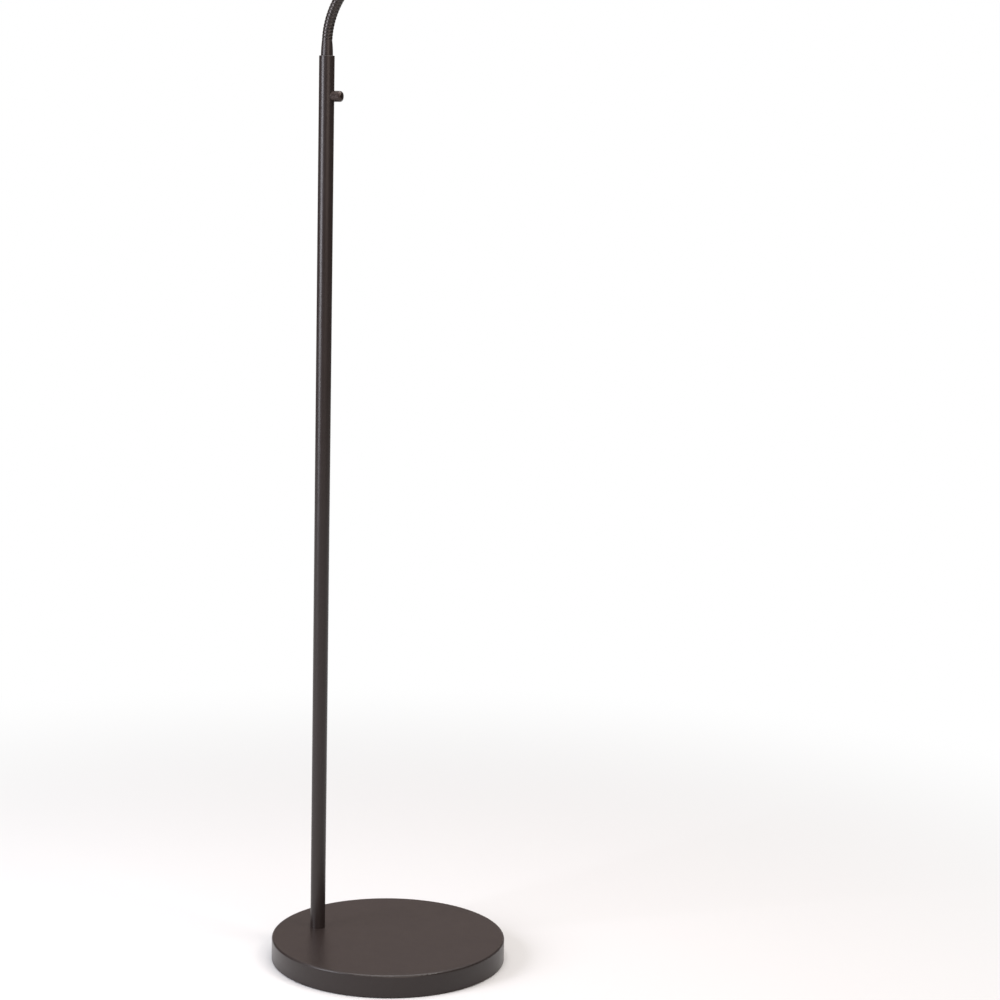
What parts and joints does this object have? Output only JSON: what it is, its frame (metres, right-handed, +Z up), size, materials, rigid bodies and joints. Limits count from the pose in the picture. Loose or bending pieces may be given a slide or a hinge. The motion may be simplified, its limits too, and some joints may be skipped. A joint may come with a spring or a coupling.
{
  "type": "gooseneck reading floor lamp",
  "caption": "Reading floor lamp: round weighted base, off-centre pole with a push switch, ribbed gooseneck that bends and sways, and a small conical LED head.",
  "frame": {"origin": "centre of the base's underside, on the floor", "axes": "+Z up along the pole; +X from the pole towards the side that the neck and head lean to; the neck lies in the plane y = 0 at rest"},
  "size_m": [0.457, 0.25, 1.2139],
  "materials": {
    "bronze_coat": "satin powder coat, dark bronze",
    "neck_coat": "satin lacquer over wound steel, dark bronze",
    "button_gloss": "gloss",
    "iron": "as cast",
    "steel": "zinc plated",
    "pad_foam": "fine closed-cell foam",
    "black_moulding": "moulded, matt",
    "lead_sheath": "smooth sheath",
    "heat_sink_metal": "machined",
    "board_white": "white mask",
    "led_phosphor": "silicone, gloss",
    "reflector_metal": "bright anodised",
    "lens_frost": "frosted"
  },
  "bodies": {
    "stand": {"base_cover": "bronze_coat", "base_weight": "iron", "base_pad": "pad_foam", "pole": "bronze_coat", "pole_foot_bush": "steel", "base_stud": "steel", "stud_washer": "steel", "stud_lock_washer": "steel", "stud_nut": "steel", "cord_gland": "black_moulding", "cord_clamp": "black_moulding", "clamp_screws": "steel", "base_lead": "lead_sheath", "switch_body": "black_moulding", "return_spring": "steel", "lower_ferrule": "bronze_coat", "ferrule_grub_screw": "steel", "neck_lead": "lead_sheath", "neck_section_01": "neck_coat"},
    "button": {"button_cap": "button_gloss"},
    "neck_link_02": {"neck_section_02": "neck_coat"},
    "neck_link_03": {"neck_section_03": "neck_coat"},
    "neck_link_04": {"neck_section_04": "neck_coat"},
    "neck_link_05": {"neck_section_05": "neck_coat"},
    "neck_link_06": {"neck_section_06": "neck_coat"},
    "neck_link_07": {"neck_section_07": "neck_coat"},
    "neck_link_08": {"neck_section_08": "neck_coat"},
    "neck_link_09": {"neck_section_09": "neck_coat"},
    "neck_link_10": {"neck_section_10": "neck_coat"},
    "neck_link_11": {"neck_section_11": "neck_coat"},
    "neck_link_12": {"neck_section_12": "neck_coat"},
    "neck_link_13": {"neck_section_13": "neck_coat"},
    "neck_link_14": {"neck_section_14": "neck_coat"},
    "neck_link_15": {"neck_section_15": "neck_coat"},
    "neck_link_16": {"neck_section_16": "neck_coat"},
    "head": {"neck_section_17": "neck_coat", "upper_ferrule": "bronze_coat", "head_stud": "steel", "head_washer": "steel", "head_nut": "steel", "shade": "bronze_coat", "heat_sink": "heat_sink_metal", "led_board": "board_white", "led_chip": "led_phosphor", "board_screws": "steel", "reflector": "reflector_metal", "lens": "lens_frost", "bezel_ring": "bronze_coat"}
  },
  "joints": [
    {"name": "neck_bend_1", "type": "hinge", "parent": "stand", "child": "neck_link_02", "pos_m": [-0.07526, 0, 0.99855], "axis": [0.002, 1, 0], "range_deg": [-18.75, 7.5], "deforming": ["neck_lead"]},
    {"name": "neck_sway_1", "type": "hinge", "parent": "neck_link_02", "child": "neck_link_03", "pos_m": [-0.06214, 0, 1.02323], "axis": [0.8542, 0, -0.5199], "range_deg": [-10, 10], "deforming": ["neck_lead"]},
    {"name": "neck_bend_2", "type": "hinge", "parent": "neck_link_03", "child": "neck_link_04", "pos_m": [-0.04703, 0, 1.0468], "axis": [0.002, 1, 0], "range_deg": [-18.75, 7.5], "deforming": ["neck_lead"]},
    {"name": "neck_sway_2", "type": "hinge", "parent": "neck_link_04", "child": "neck_link_05", "pos_m": [-0.03083, 0, 1.06964], "axis": [0.8021, 0, -0.5972], "range_deg": [-10, 10], "deforming": ["neck_lead"]},
    {"name": "neck_bend_3", "type": "hinge", "parent": "neck_link_05", "child": "neck_link_06", "pos_m": [-0.01359, 0, 1.0917], "axis": [0.002, 1, 0], "range_deg": [-18.75, 7.5], "deforming": ["neck_lead"]},
    {"name": "neck_sway_3", "type": "hinge", "parent": "neck_link_06", "child": "neck_link_07", "pos_m": [0.00466, 0, 1.11293], "axis": [0.7429, 0, -0.6694], "range_deg": [-10, 10], "deforming": ["neck_lead"]},
    {"name": "neck_bend_4", "type": "hinge", "parent": "neck_link_07", "child": "neck_link_08", "pos_m": [0.02388, 0, 1.13329], "axis": [0.002, 1, 0], "range_deg": [-18.75, 7.5], "deforming": ["neck_lead"]},
    {"name": "neck_sway_4", "type": "hinge", "parent": "neck_link_08", "child": "neck_link_09", "pos_m": [0.04403, 0, 1.15273], "axis": [0.6773, 0, -0.7357], "range_deg": [-10, 10], "deforming": ["neck_lead"]},
    {"name": "neck_bend_5", "type": "hinge", "parent": "neck_link_09", "child": "neck_link_10", "pos_m": [0.06506, 0, 1.17121], "axis": [0.002, 1, 0], "range_deg": [-18.75, 7.5], "deforming": ["neck_lead"]},
    {"name": "neck_sway_5", "type": "hinge", "parent": "neck_link_10", "child": "neck_link_11", "pos_m": [0.08706, 0, 1.18852], "axis": [0.5631, 0, -0.8264], "range_deg": [-10, 10], "deforming": ["neck_lead"]},
    {"name": "neck_bend_6", "type": "hinge", "parent": "neck_link_11", "child": "neck_link_12", "pos_m": [0.11188, 0, 1.20133], "axis": [0.002, 1, 0], "range_deg": [-18.75, 7.5], "deforming": ["neck_lead"]},
    {"name": "neck_sway_6", "type": "hinge", "parent": "neck_link_12", "child": "neck_link_13", "pos_m": [0.13905, 0, 1.20778], "axis": [0.1109, 0, -0.9938], "range_deg": [-10, 10], "deforming": ["neck_lead"]},
    {"name": "neck_bend_7", "type": "hinge", "parent": "neck_link_13", "child": "neck_link_14", "pos_m": [0.16698, 0, 1.20748], "axis": [0.002, 1, 0], "range_deg": [-18.75, 7.5], "deforming": ["neck_lead"]},
    {"name": "neck_sway_7", "type": "hinge", "parent": "neck_link_14", "child": "neck_link_15", "pos_m": [0.19402, 0, 1.20046], "axis": [-0.367, 0, -0.9302], "range_deg": [-10, 10], "deforming": ["neck_lead"]},
    {"name": "neck_bend_8", "type": "hinge", "parent": "neck_link_15", "child": "neck_link_16", "pos_m": [0.21856, 0, 1.18713], "axis": [0.002, 1, 0], "range_deg": [-18.75, 7.5], "deforming": ["neck_lead"]},
    {"name": "neck_sway_8", "type": "hinge", "parent": "neck_link_16", "child": "head", "pos_m": [0.23917, 0, 1.16827], "axis": [-0.7596, 0, -0.6503], "range_deg": [-10, 10], "deforming": ["neck_lead"]},
    {"name": "switch_press", "type": "slide", "parent": "stand", "child": "button", "axis": [-1, 0, 0], "range_m": [0, 0.0012], "stiffness_N_per_m": 300, "springref_m": -0.002, "deforming": ["return_spring"]}
  ]
}
